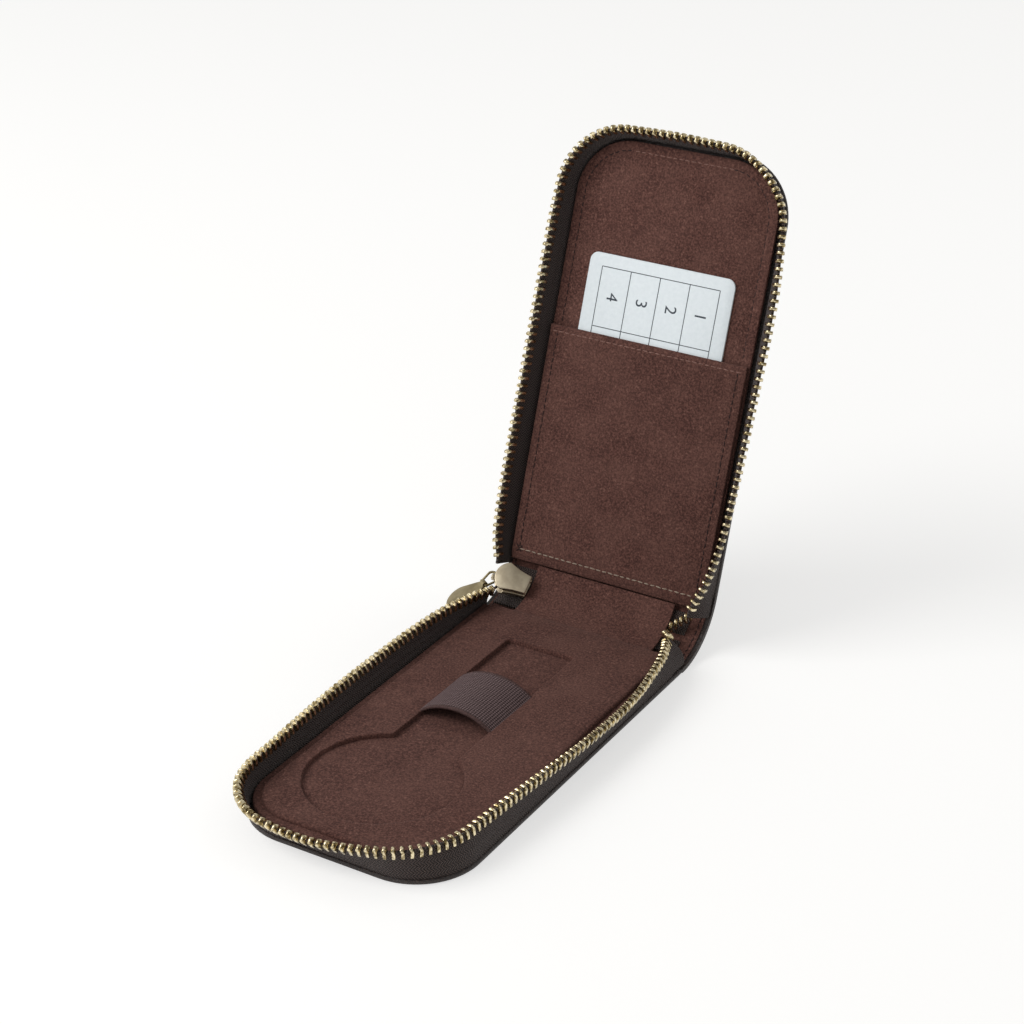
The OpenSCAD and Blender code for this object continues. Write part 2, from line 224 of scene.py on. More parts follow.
# Zip: teeth in a row, and how many at each end bend with the spine
ROW_TEETH = 142
END_TEETH = 4
WALL = 9.0
TAPE = 0.8
TOOTH_FOOT = SEAM_Z + 0.95
SEAM_START = 0.5
BEND = math.pi * SEAM_R / 2
FRONT = 2 * (SEAM_HALF - SEAM_R)

# From millimetres in the frame, on the base panel or on the lid panel, to metres in the frame
WORLD_MM = Matrix.Scale(MM, 4)
MIRROR_Y = Matrix.Scale(-1, 4, (0, 1, 0))
LID_FACE = (0, LID_FOOT[0] + LINING_Z * math.sin(LID_SLOPE), LID_FOOT[1] - LINING_Z * math.cos(LID_SLOPE))
ON_BASE = WORLD_MM @ Matrix.Translation((0, FOLD_Y, 0)) @ MIRROR_Y
ON_LID = WORLD_MM @ Matrix.Translation(LID_FACE) @ Matrix.Rotation(LID_SLOPE, 4, "X")

# Outward lean of the zip wall at the teeth, by distance along the seam from the left fold
BASE_LEAN = [
    (0, -4.3), (10, -1.7), (24, 1.2), (44, 3.2), (78, 3.6), (104, 2.2), (122, 0.8),
    (132, 1.1), (141, 3.2), (150, 5), (159, 6), (168, 6.4), (177, 6.1), (187, 4.8),
    (196, 2.8), (204, 0.8), (212, -1.2), (221, -1.9), (238, -0.4), (257, 1.3), (279, 3),
    (302, 3.8), (315, 3.3), (325, 2.1), (340, -0.8), (349, -4.3),
]
LID_LEAN = [
    (0, 0.6), (8, 2.8), (22, 3.8), (64, 3.4), (115, 2.8), (127, 2.2), (142, 2.1),
    (158, 2.6), (176, 3.1), (194, 2.7), (210, 2), (225, 3.6), (248, 5.2), (287, 4.9),
    (310, 4.4), (331, 3.2), (345, 0.7), (352, -2.2),
]


# Materials

def linear(code):
    """sRGB hex colour to linear red, green, blue and alpha"""
    parts = [int(code[i:i + 2], 16) / 255 for i in (0, 2, 4)]
    return [c / 12.92 if c <= 0.04045 else ((c + 0.055) / 1.055) ** 2.4 for c in parts] + [1.0]


def add_node(tree, kind, values=None, links=None, **settings):
    """One shader node with its settings, input values and links"""
    made = tree.nodes.new("ShaderNode" + kind)
    for name, value in settings.items():
        setattr(made, name, value)
    for name, value in (values or {}).items():
        made.inputs[name].default_value = value
    for name, source in (links or {}).items():
        tree.links.new(source, made.inputs[name])
    return made


def new_material(name, coordinates="Object", **shader):
    """A material with a Principled shader, and the coordinates that its pattern reads"""
    material = bpy.data.materials.new(name)
    material.use_nodes = True
    tree = material.node_tree
    tree.nodes.clear()
    surface = add_node(tree, "BsdfPrincipled", {k.replace("_", " "): v for k, v in shader.items()})
    output = add_node(tree, "OutputMaterial", links={"Surface": surface.outputs[0]})
    output.is_active_output = True
    place = add_node(tree, "TexCoord").outputs[coordinates]
    return material, tree, surface, place


def mix(tree, factor, first, second):
    """Colour between two colours or colour sockets, by a factor socket"""
    made = add_node(tree, "Mix", links={0: factor}, data_type="RGBA")
    for slot, colour in ((6, first), (7, second)):
        if isinstance(colour, str):
            made.inputs[slot].default_value = linear(colour)
        else:
            tree.links.new(colour, made.inputs[slot])
    return made.outputs[2]


def ramp(tree, value, low, high):
    """A factor that runs from 0 at low to 1 at high"""
    made = add_node(tree, "MapRange", {1: low, 2: high}, {0: value}, interpolation_type="SMOOTHSTEP")
    return made.outputs[0]


def noise(tree, place, size_mm, detail=3.0):
    """A noise factor with features of about size_mm"""
    made = add_node(tree, "TexNoise", {"Scale": 1 / (size_mm * MM), "Detail": detail}, {"Vector": place})
    return made.outputs[0]


def finish_material(tree, surface, colour, roughness, height, depth_mm):
    """Links colour, roughness and bump height to the shader"""
    tree.links.new(colour, surface.inputs["Base Color"])
    tree.links.new(roughness, surface.inputs["Roughness"])
    bump = add_node(tree, "Bump", {"Strength": 1.0, "Distance": depth_mm * MM}, {"Height": height})
    tree.links.new(bump.outputs[0], surface.inputs["Normal"])


def spread(tree, value, low, high):
    """A value between low and high, by a factor socket"""
    return add_node(tree, "MapRange", {3: low, 4: high}, {0: value}).outputs[0]


def combine(tree, kind, first, second=0):
    """A Math node of a socket with a number or another socket"""
    made = add_node(tree, "Math", links={0: first}, operation=kind)
    if isinstance(second, (int, float)):
        made.inputs[1].default_value = second
    else:
        tree.links.new(second, made.inputs[1])
    return made.outputs[0]


def waves(tree, place, length_mm):
    """A sine wave of length_mm along a place in metres"""
    return combine(tree, "SINE", combine(tree, "MULTIPLY", place, 2 * math.pi / (length_mm * MM)))


def grained_leather(name, dark, light):
    """Drum-dyed cowhide with a fine pebbled grain: satin highlights broken by the pebbles"""
    material, tree, surface, place = new_material(name)
    pebble_mm = 1.0
    bend_mm, push_mm = 3, 0.5
    bend = add_node(tree, "TexNoise", {"Scale": 1 / (bend_mm * MM)}, {"Vector": place}).outputs[1]
    pushed = add_node(tree, "VectorMath", {"Scale": push_mm * MM}, {0: bend}, operation="SCALE").outputs[0]
    moved = add_node(tree, "VectorMath", links={0: place, 1: pushed}, operation="ADD").outputs[0]
    cells = add_node(tree, "TexVoronoi", {"Scale": 1 / (pebble_mm * MM)}, {"Vector": moved},
                     feature="DISTANCE_TO_EDGE").outputs[0]
    crease = ramp(tree, cells, 0.0, 0.3)
    pores = noise(tree, place, 0.35)
    broad = noise(tree, place, 14)
    height = combine(tree, "ADD", crease, combine(tree, "MULTIPLY", pores, 0.35))
    shade = combine(tree, "MULTIPLY", crease, combine(tree, "ADD", broad, 0.25))
    colour = mix(tree, shade, dark, light)
    finish_material(tree, surface, colour, spread(tree, pores, 0.38, 0.62), height, 0.12)
    return material


def microsuede(name, dark, mid, light):
    """Brushed microsuede lining: matte nap with a fine grain and paler fibre tips, faintly clouded"""
    material, tree, surface, place = new_material(
        name, Sheen_Weight=0.2, Sheen_Roughness=0.5, Sheen_Tint=linear("c9a69c"), Specular_IOR_Level=0.15)
    tips = noise(tree, place, 0.45, 4)
    grain = noise(tree, place, 0.7, 2)
    clouds = noise(tree, place, 12, 2)
    specks = ramp(tree, grain, 0.63, 0.72)
    height = combine(tree, "ADD", tips, grain)
    body = mix(tree, ramp(tree, height, 0.74, 1.26), dark, mid)
    cloudy = mix(tree, combine(tree, "MULTIPLY", ramp(tree, clouds, 0.3, 0.7), 0.14), body, light)
    colour = mix(tree, combine(tree, "MULTIPLY", specks, 0.5), cloudy, light)
    finish_material(tree, surface, colour, spread(tree, tips, 0.85, 1.0), height, 0.12)
    return material


def woven_tape():
    """Polyester zip tape in herringbone twill: near black, with a dull thread sheen"""
    material, tree, surface, place = new_material(
        "polyester_twill_tape", "UV", Sheen_Weight=0.15, Sheen_Roughness=0.4, Specular_IOR_Level=0.3)
    thread_mm = 0.95
    stripe_mm = 2.3
    axes = add_node(tree, "SeparateXYZ", links={0: place}).outputs
    fold = combine(tree, "PINGPONG", axes[1], stripe_mm / 2 * MM)
    slant = combine(tree, "ADD", axes[0], fold)
    wave = waves(tree, slant, thread_mm)
    back = combine(tree, "SUBTRACT", axes[0], combine(tree, "MULTIPLY", fold, 2.0))
    cross = waves(tree, back, thread_mm)
    fuzz = noise(tree, place, 0.3)
    height = combine(tree, "ADD", wave, combine(tree, "MULTIPLY", cross, 0.45))
    colour = mix(tree, ramp(tree, combine(tree, "ADD", height, fuzz), -0.5, 1.7), "1c1412", "5c4c47")
    finish_material(tree, surface, colour, spread(tree, fuzz, 0.65, 0.9), height, 0.14)
    return material


def ribbed_elastic():
    """Woven elastic: small raised knots in rows, brown with a mauve cast"""
    material, tree, surface, place = new_material(
        "woven_elastic", "UV", Sheen_Weight=0.3, Sheen_Roughness=0.4, Sheen_Tint=linear("b7a0a0"),
        Specular_IOR_Level=0.2)
    rib_mm = 0.9
    axes = add_node(tree, "SeparateXYZ", links={0: place}).outputs
    along, across = (waves(tree, axis, rib_mm) for axis in axes[:2])
    fuzz = noise(tree, place, 0.3)
    height = combine(tree, "ADD", along, combine(tree, "MULTIPLY", across, 0.8))
    colour = mix(tree, ramp(tree, combine(tree, "ADD", height, fuzz), -1.0, 2.0), "2b1f1e", "7d6767")
    finish_material(tree, surface, colour, spread(tree, fuzz, 0.6, 0.85), height, 0.14)
    return material


def aged_brass(name, dark, light, stain_mm=1.6, rough=(0.22, 0.42)):
    """Antiqued brass plating: bright where it rubs, olive brown where the patina stays"""
    material, tree, surface, place = new_material(name, Metallic=1.0)
    stain = noise(tree, place, stain_mm, 4)
    scratch = noise(tree, place, 0.25)
    colour = mix(tree, ramp(tree, stain, 0.35, 0.62), dark, light)
    finish_material(tree, surface, colour, spread(tree, scratch, *rough), scratch, 0.01)
    return material


def coated_card():
    """Coated card: smooth, nearly white with a cool cast, faint fibre mottling"""
    material, tree, surface, place = new_material("coated_card", Coat_Weight=0.15, Coat_Roughness=0.3)
    fibre = noise(tree, place, 1.2)
    colour = mix(tree, fibre, "d8e1e5", "e9f0f3")
    finish_material(tree, surface, colour, spread(tree, fibre, 0.4, 0.5), fibre, 0.01)
    return material


def plain_fibre(name, dark, light, grain_mm, roughness):
    """Matte fibrous stuff, such as thread, board, foam or printing ink, with its own fine mottling"""
    material, tree, surface, place = new_material(name, Specular_IOR_Level=0.25)
    fibre = noise(tree, place, grain_mm)
    colour = mix(tree, ramp(tree, fibre, 0.3, 0.7), dark, light)
    finish_material(tree, surface, colour, spread(tree, fibre, roughness - 0.1, roughness), fibre, 0.05)
    return material


leather = grained_leather("pebbled_cowhide", "231b1a", "43352f")
suede = microsuede("brushed_microsuede", "3f2824", "69473f", "8d675c")
tape = woven_tape()
elastic = ribbed_elastic()
hem_elastic = plain_fibre("elastic_hem", "3d2b29", "5d4643", 0.5, 0.8)
brass = aged_brass("antiqued_brass_teeth", "85744c", "f2e3bd", 1.2, (0.16, 0.34))
plate_brass = aged_brass("satin_brass_plate", "c0b299", "d2c5ab", 3.5, (0.4, 0.5))
pull_brass = aged_brass("worn_brass_pull", "8d8060", "a89a78", 4.0, (0.34, 0.46))
card_stock = coated_card()
ink = plain_fibre("offset_ink", "3a4048", "4c535b", 0.4, 0.7)
# pale, rose and dark are copies of one thread: the pale and rose copies are painted light for the rows at the top and
# bottom, the dark copy is painted shade on the side rows, and the dark copy also serves the lid's back and the spine
pale_thread_painted_light = plain_fibre("thread_pale_painted_light", "7d6b5c", "b3a292", 0.3, 0.8)
rose_thread_painted_light = plain_fibre("thread_rose_painted_light", "6b4a42", "9a766b", 0.3, 0.8)
dark_thread_painted_shade = plain_fibre("thread_dark_painted_shade", "1f1413", "3a2724", 0.3, 0.75)
foam = plain_fibre("closed_cell_foam", "1d1b1b", "2b2828", 0.8, 0.95)
board = plain_fibre("grey_board", "6b6255", "847a6b", 1.0, 0.9)


# Modelling helpers

def select_only(obj):
    """Selects one object and makes it the active one"""
    bpy.ops.object.select_all(action="DESELECT")
    obj.select_set(True)
    bpy.context.view_layer.objects.active = obj


def newest(name):
    """The object just made, with its name"""
    obj = bpy.context.active_object
    obj.name = name
    obj.data.name = name
    return obj


def pick(obj, kind, test):
    """Edit mode, with only the vertices, edges or faces selected that pass the test"""
    bpy.ops.object.mode_set(mode="EDIT")
    bpy.ops.mesh.select_mode(type=kind)
    bpy.ops.mesh.select_all(action="DESELECT")
    bpy.ops.object.mode_set(mode="OBJECT")
    items = {"VERT": obj.data.vertices, "EDGE": obj.data.edges, "FACE": obj.data.polygons}[kind]
    for item in items:
        item.select = test(item)
    bpy.ops.object.mode_set(mode="EDIT")


def ends(obj, edge):
    """The places of an edge's two vertices"""
    return [obj.data.vertices[i].co for i in edge.vertices]


def add_modifier(obj, kind, **settings):
    """Adds a modifier with its settings and applies it"""
    select_only(obj)
    made = obj.modifiers.new(kind.lower(), kind)
    for name, value in settings.items():
        setattr(made, name, value)
    bpy.ops.object.modifier_apply(modifier=made.name)


def box_piece(name, low, high):
    """A closed box from low to high, its place in its mesh"""
    bpy.ops.object.select_all(action="DESELECT")
    middle = [(a + b) / 2 for a, b in zip(low, high)]
    size = [b - a for a, b in zip(low, high)]
    bpy.ops.mesh.primitive_cube_add(size=1, location=middle, scale=size)
    obj = newest(name)
    bpy.ops.object.transform_apply(location=True, rotation=True, scale=True)
    return obj


def panel(name, half, s0, s1, z0, z1, corner, rim):
    """A slab in panel terms: free corners rounded in plan, every edge but the fold's softened"""
    obj = box_piece(name, (-half, s0, z0), (half, s1, z1))

    def upright_at_free_end(edge):
        a, b = ends(obj, edge)
        return abs(a.z - b.z) > 0.1 and min(a.y, b.y) > s1 - 0.01

    pick(obj, "EDGE", upright_at_free_end)
    bpy.ops.mesh.bevel(offset=corner, segments=18, affect="EDGES")

    def level_and_free(edge):
        a, b = ends(obj, edge)
        return abs(a.z - b.z) < 0.01 and max(a.y, b.y) > s0 + 0.01

    pick(obj, "EDGE", level_and_free)
    bpy.ops.mesh.bevel(offset=rim, segments=3, affect="EDGES")
    bpy.ops.object.mode_set(mode="OBJECT")
    return obj


def inset_steps(obj, z, steps):
    """Insets the flat face at height z by each step's width, and lifts it by the step's rise"""
    pick(obj, "FACE", lambda f: abs(f.center.z - z) < 0.01 and abs(f.normal.z) > 0.99)
    for width, rise in steps:
        bpy.ops.mesh.inset(thickness=width, depth=0)
        bpy.ops.transform.translate(value=(0, 0, rise))
    bpy.ops.object.mode_set(mode="OBJECT")


def place(obj, matrix, material, slot, smooth=40):
    """Turns a piece modelled in mm to its place in metres, and gives it its material"""
    obj.data.transform(matrix)
    if matrix.determinant() < 0:
        obj.data.flip_normals()
    obj.data.materials.clear()
    obj.data.materials.append(material)
    select_only(obj)
    bpy.ops.object.shade_smooth_by_angle(angle=math.radians(smooth))
    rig.slot(obj, slot)
    return obj


def sheet_grid(name, columns, rows, at, measure):
    """A grid moved to at(u, v), with its UV map in metres by measure(u, v)"""
    bpy.ops.object.select_all(action="DESELECT")
    bpy.ops.mesh.primitive_grid_add(x_subdivisions=columns, y_subdivisions=rows, size=2)
    obj = newest(name)
    spots = [((v.co.x + 1) / 2, (v.co.y + 1) / 2) for v in obj.data.vertices]
    for vertex, (u, v) in zip(obj.data.vertices, spots):
        vertex.co = at(u, v)
    layer = obj.data.uv_layers.active.data
    for loop in obj.data.loops:
        layer[loop.index].uv = measure(*spots[loop.vertex_index])
    return obj


def softened(name, node, width, segments, material, slot, body):
    """A copy of a rigid CAD node with its edges rounded, in the node's place"""
    source = frame["nodes"][node]
    bpy.ops.object.select_all(action="DESELECT")
    obj = bpy.data.objects.new(name, source.data.copy())
    bpy.context.scene.collection.objects.link(obj)
    select_only(obj)
    bpy.ops.object.mode_set(mode="EDIT")
    bpy.ops.mesh.select_all(action="SELECT")
    bpy.ops.mesh.remove_doubles(threshold=0.002 * MM)
    bpy.ops.mesh.dissolve_limited(angle_limit=math.radians(2))
    bpy.ops.object.mode_set(mode="OBJECT")
    if width:
        add_modifier(obj, "BEVEL", width=width * MM, segments=segments, limit_method="ANGLE",
                     angle_limit=math.radians(35), use_clamp_overlap=True)
    obj.data.materials.clear()
    obj.data.materials.append(material)
    bpy.ops.object.shade_smooth_by_angle(angle=math.radians(40))
    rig.slot(obj, slot)
    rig.ride(obj, body)
    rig.replaces(obj, node)
    return obj


def join(name, parts):
    """One object made of several"""
    bpy.ops.object.select_all(action="DESELECT")
    for part in parts:
        part.select_set(True)
    bpy.context.view_layer.objects.active = parts[0]
    bpy.ops.object.join()
    return newest(name)


def copies(name, master, matrices):
    """One object made of a copy of the master at each matrix"""
    parts = []
    for matrix in matrices:
        part = master.copy()
        part.data = master.data.copy()
        part.data.transform(matrix)
        if matrix.determinant() < 0:
            part.data.flip_normals()
        bpy.context.scene.collection.objects.link(part)
        parts.append(part)
    return join(name, parts)


# Seam line and zip wall, in panel terms

def rate(table, a, b):
    """Slope of the table between two of its rows"""
    return (table[b][1] - table[a][1]) / (table[b][0] - table[a][0])


def glide(table, u):
    """Lean at u, on a smooth curve through the table"""
    last = len(table) - 1
    u = max(u, 0)
    i = next((k for k in range(last) if u < table[k + 1][0]), last - 1)
    h = table[i + 1][0] - table[i][0]
    k = (u - table[i][0]) / h
    m0, m1 = (rate(table, max(j - 1, 0), min(j + 1, last)) for j in (i, i + 1))
    a, b = table[i][1], table[i + 1][1]
    return ((2 * k ** 3 - 3 * k * k + 1) * a + (k ** 3 - 2 * k * k + k) * h * m0
            + (3 * k * k - 2 * k ** 3) * b + (k ** 3 - k * k) * h * m1)


def side_len(length):
    """Length of one straight side of the seam, from its start by the fold to its corner"""
    return length - SEAM_R - SEAM_START


def seam_total(length):
    """Length of the whole seam, round both corners"""
    return 2 * side_len(length) + 2 * BEND + FRONT


def seam_at(length, u):
    """Point on the seam line and its outward direction, u from the left fold"""
    s = side_len(length)
    c = SEAM_HALF - SEAM_R
    if u < s:
        return (-SEAM_HALF, SEAM_START + u, -1, 0)
    if u < s + BEND:
        a = math.pi - (u - s) / BEND * math.pi / 2
        return (-c + SEAM_R * math.cos(a), length - SEAM_R + SEAM_R * math.sin(a), math.cos(a), math.sin(a))
    if u < s + BEND + FRONT:
        return (-c + u - s - BEND, length, 0, 1)
    if u < s + 2 * BEND + FRONT:
        a = math.pi / 2 - (u - s - BEND - FRONT) / BEND * math.pi / 2
        return (c + SEAM_R * math.cos(a), length - SEAM_R + SEAM_R * math.sin(a), math.cos(a), math.sin(a))
    return (SEAM_HALF, length - SEAM_R - (u - s - 2 * BEND - FRONT), 1, 0)


def out_at(length, u, out, z):
    """Point beside the seam line at u, by a distance outward and a height"""
    x, y, dx, dy = seam_at(length, u)
    return Vector((x + out * dx, y + out * dy, z))


def rise(out):
    """Height of the zip wall where its top leans outward by out"""
    return math.sqrt(WALL * WALL - out * out)


def tooth_point(length, lean, u):
    """Point on the teeth's own line, above the seam at u"""
    out = glide(lean, u)
    return out_at(length, u, out, TOOTH_FOOT + rise(out))


def tooth_places(length, lean):
    """Distance along the seam of each tooth, for teeth that stand evenly along their own line"""
    run = [(0.0, 0.0)]
    while run[-1][1] < seam_total(length):
        s, u = run[-1]
        run.append((s + (tooth_point(length, lean, u + 1) - tooth_point(length, lean, u)).length, u + 1))
    (s0, u0), (s1, _) = run[-2:]
    total = s0 + (s1 - s0) * (seam_total(length) - u0)
    places, k = [], 0
    for index in range(ROW_TEETH):
        s = (index + 0.5) / ROW_TEETH * total
        while run[k + 1][0] < s:
            k += 1
        places.append(k + (s - run[k][0]) / (run[k + 1][0] - run[k][0]))
    return places


def tooth_matrix(length, lean, u):
    """Place of the tooth at u: across its line, and tilted with the zip wall"""
    step = 0.6
    spot, back, ahead = (tooth_point(length, lean, w) for w in (u, u - step, u + step))
    turn = math.atan2(ahead.x - back.x, back.y - ahead.y)
    tilt = math.asin(glide(lean, u) / WALL)
    return Matrix.Translation(spot) @ Matrix.Rotation(turn, 4, "Z") @ Matrix.Rotation(tilt, 4, "Y")


# How far the tape runs past the teeth's line, and where its knee is, from 0 at the seam to 1 at the top
TAPE_OVER = 0.5
KNEE_AT = 0.3


def curve_parts(v):
    """Shares of the first, middle and last control point at v on a quadratic curve"""
    return (1 - v) ** 2, 2 * v * (1 - v), v * v


def tape_point(length, lean, u, v):
    """Middle of the tape's thickness, v from 0 at the seam to 1 at the teeth"""
    out = glide(lean, u)
    top = WALL + TAPE_OVER
    knee_out = (0.35 if out > 0 else 0.05) * out
    near_fold = min(u, seam_total(length) - u) < 6
    foot_z = SEAM_Z + (0.6 if near_fold else 0)
    knee_z = SEAM_Z + 3.3
    top_out, top_z = out / WALL * top, TOOTH_FOOT + rise(out) / WALL * top
    # a curve from the foot to the top, with its control point set so that it passes the knee
    foot_part, bow_part, top_part = curve_parts(KNEE_AT)
    bow_out = (knee_out - top_part * top_out) / bow_part
    bow_z = (knee_z - foot_part * foot_z - top_part * top_z) / bow_part
    a, b, c = curve_parts(v)
    return out_at(length, u, b * bow_out + c * top_out, a * foot_z + b * bow_z + c * top_z)


def tape_wall(name, length, lean, first, last):
    """The stretch of tape beside the teeth from first to last, run on past the fold at a row's end"""
    pitch = seam_total(length) / ROW_TEETH
    tail = 2.0
    u0 = first * pitch - (tail if first == 0 else 0)
    u1 = (last + 1) * pitch + (tail if last == ROW_TEETH - 1 else 0)
    width = (WALL + 1.5) * MM
    obj = sheet_grid(
        name, (last - first + 1) * 2, 8, lambda u, v: tape_point(length, lean, u0 + (u1 - u0) * u, v),
        lambda u, v: ((u0 + (u1 - u0) * u) * MM, v * width))
    add_modifier(obj, "SOLIDIFY", thickness=TAPE, offset=0)
    return obj


def tooth_master():
    """One zip tooth: two legs clasping the tape, and a rounded head hooked to one side"""
    # level, sides along the row, half width across it
    levels = (
        (-1.7, -0.42, 0.42, 1.22), (-1.5, -0.52, 0.52, 1.3), (0.15, -0.52, 0.52, 1.3),
        (0.55, -0.5, 0.36, 1.3), (0.85, -0.36, 0.5, 1.26), (1.15, -0.16, 0.76, 1.15),
        (1.45, -0.1, 0.8, 0.98), (1.7, -0.12, 0.62, 0.72), (1.88, 0.0, 0.34, 0.4))
    obj = box_piece("tooth", (-1, -1, 0), (1, 1, len(levels) - 1))
    pick(obj, "EDGE", lambda e: abs(ends(obj, e)[0].z - ends(obj, e)[1].z) > 1)
    bpy.ops.mesh.subdivide(number_cuts=len(levels) - 2)
    bpy.ops.object.mode_set(mode="OBJECT")
    for vertex in obj.data.vertices:
        z, back, ahead, half = levels[round(vertex.co.z)]
        vertex.co = (math.copysign(half, vertex.co.x), ahead if vertex.co.y > 0 else back, z)
    add_modifier(obj, "BEVEL", width=0.16, segments=2, limit_method="ANGLE", angle_limit=math.radians(50))
    return obj


def zip_rows(tooth):
    """Tape and teeth of both rows: the long stretch rides on its panel, the short ends bend with the spine"""
    rows = (
        ("base", BASE_LEN, BASE_LEAN, ON_BASE, "base", "spine", BASE_END_BLEND),
        ("lid", LID_LEN, LID_LEAN, ON_LID, "spine", "lid", LID_END_BLEND),
    )
    for side, length, lean, terms, a, b, span in rows:
        middle = range(END_TEETH, ROW_TEETH - END_TEETH)
        wall = tape_wall(f"{side}_zip_tape", length, lean, middle[0], middle[-1])
        place(wall, terms, tape, "tape", 60)
        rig.ride(wall, side)
        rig.replaces(wall, f"{side}_tape")
        spots = [tooth_matrix(length, lean, u) for u in tooth_places(length, lean)]
        teeth = copies(f"{side}_zip_teeth", tooth, spots[END_TEETH:-END_TEETH])
        place(teeth, terms, brass, "brass")
        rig.ride(teeth, side)
        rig.replaces(teeth, f"{side}_teeth")
        tips = join(f"{side}_zip_tape_ends", [
            tape_wall("tip", length, lean, 0, END_TEETH - 1),
            tape_wall("tip", length, lean, ROW_TEETH - END_TEETH, ROW_TEETH - 1)])
        place(tips, terms, tape, "tape", 60)
        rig.replaces(tips, f"{side}_tape_ends")
        end_teeth = copies(f"{side}_zip_end_teeth", tooth, spots[:END_TEETH] + spots[-END_TEETH:])
        place(end_teeth, terms, brass, "brass")
        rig.replaces(end_teeth, f"{side}_teeth_ends")
        for piece in (tips, end_teeth):
            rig.blend(piece, a, b, **span)


# Spine, in arc terms: x, radius and angle behind the fold

def arc_point(x, r, degrees):
    """Point on the arc; below zero degrees it runs straight on, level with the base"""
    a = math.radians(degrees)
    if a < 0:
        return Vector((x, ARC_Y + r * a, ARC_R - r))
    return Vector((x, ARC_Y + r * math.sin(a), ARC_R - r * math.cos(a)))


def metres(x, y, z):
    """A point in the frame, from millimetres to metres"""
    return (x * MM, y * MM, z * MM)


# Where each bending piece starts and ends its bend
BASE_END_BLEND = {"start": metres(0, 61, 3), "end": metres(0, 76, 3)}
LID_END_BLEND = {"start": tuple(ON_LID @ Vector((0, -4, 3))), "end": tuple(ON_LID @ Vector((0, 11, 3)))}
BASE_FOLD_BLEND = {"start": metres(0, 71.75, 0), "end": metres(0, 82, 3.5)}
LID_FOLD_BLEND = {"start": metres(0, 86.5, 6), "end": metres(0, 95.3, 16.7)}
LINING_BASE_BLEND = {"start": metres(0, 72.8, 4), "end": metres(0, 80.5, 6.5)}
LINING_LID_BLEND = {"start": metres(0, 84.5, 8.5), "end": metres(0, 89, 13)}


def arc_sheet(name, x0, x1, r, a0, a1, thick, rows, tuck=0.0):
    """A strip of the spine from angle a0 to a1, its outer face at radius r, thick towards the inside

    Its base end can rise by tuck, to run up into the insert without a step.
    """
    tuck_from, tuck_run = 1.5, 4.3

    def at(u, v):
        angle = a0 + (a1 - a0) * v
        t = min(1, max(0, (tuck_from - math.radians(angle) * r) / tuck_run))
        return arc_point(x0 + (x1 - x0) * u, r, angle) + Vector((0, 0, tuck * t * t * (3 - 2 * t)))

    length = math.radians(a1 - a0) * r
    obj = sheet_grid(name, 40, rows, at, lambda u, v: ((x0 + (x1 - x0) * u) * MM, v * length * MM))
    add_modifier(obj, "SOLIDIFY", thickness=thick, offset=1)
    return obj


def spine_pieces():
    """Outer leather, facing, lining and tape ends of the spine, each as a base half and a lid half"""
    top = math.degrees(LID_SLOPE)
    # reach to the left and right, radius, angles of start, split and end, thickness
    strips = (
        ("spine_leather", PANEL_HALF, PANEL_HALF, ARC_R, 0, 35.4, top, LEATHER, leather, "leather"),
        ("spine_facing", 37.4, 37.4, ARC_R - LEATHER, 4, 35.4, top - 4, 0.6, suede, "suede"),
        ("spine_lining", 25.9, 26.7, 21.2, -13, 29.4, 57.5, 0.8, suede, "suede"),
        ("spine_padding", 23.5, 23.5, 22.8, 11, 29.4, 53, 1.5, foam, "foam"),
    )
    for name, left, right, r, a0, split, a1, thick, material, slot in strips:
        spans = (BASE_FOLD_BLEND, LID_FOLD_BLEND)
        if name in ("spine_lining", "spine_padding"):
            spans = (LINING_BASE_BLEND, LINING_LID_BLEND)
        halves = ((f"{name}_base_half", a0, split, "base", "spine"),
                  (f"{name}_lid_half", split, a1, "spine", "lid"))
        for (half, low, high, a, b), span in zip(halves, spans):
            tuck = 0.78 if half == "spine_lining_base_half" else 0.0
            obj = arc_sheet(half, -left, right, r, low, high, thick, 28, tuck)
            place(obj, WORLD_MM, material, slot, 50)
            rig.replaces(obj, name)
            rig.blend(obj, a, b, **span)
    patches = (("base", 11, 26.5, "base", "spine", LINING_BASE_BLEND),
               ("lid", 33.5, 53, "spine", "lid", LINING_LID_BLEND))
    for side, x0, x1 in (("left", -36.4, -23.7), ("right", 23.7, 32.8)):
        for part, low, high, a, b, span in patches:
            obj = arc_sheet(f"spine_tape_{side}_{part}", x0, x1, 22.75, low, high, 0.75, 10)
            place(obj, WORLD_MM, tape, "tape", 50)
            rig.replaces(obj, f"tape_end_{side}")
            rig.blend(obj, a, b, **span)


# Stitching

SIDES = ((-1, "left"), (1, "right"))
CORNER_STEPS = 10


def stitch_master(length, radius):
    """One stitch: a short strand with tucked-in ends, lying along x"""
    bpy.ops.object.select_all(action="DESELECT")
    bpy.ops.mesh.primitive_uv_sphere_add(segments=8, ring_count=6, radius=1,
                                         rotation=(0, math.pi / 2, 0), scale=(radius, radius, length / 2))
    obj = newest("stitch")
    bpy.ops.object.transform_apply(location=True, rotation=True, scale=True)
    return obj


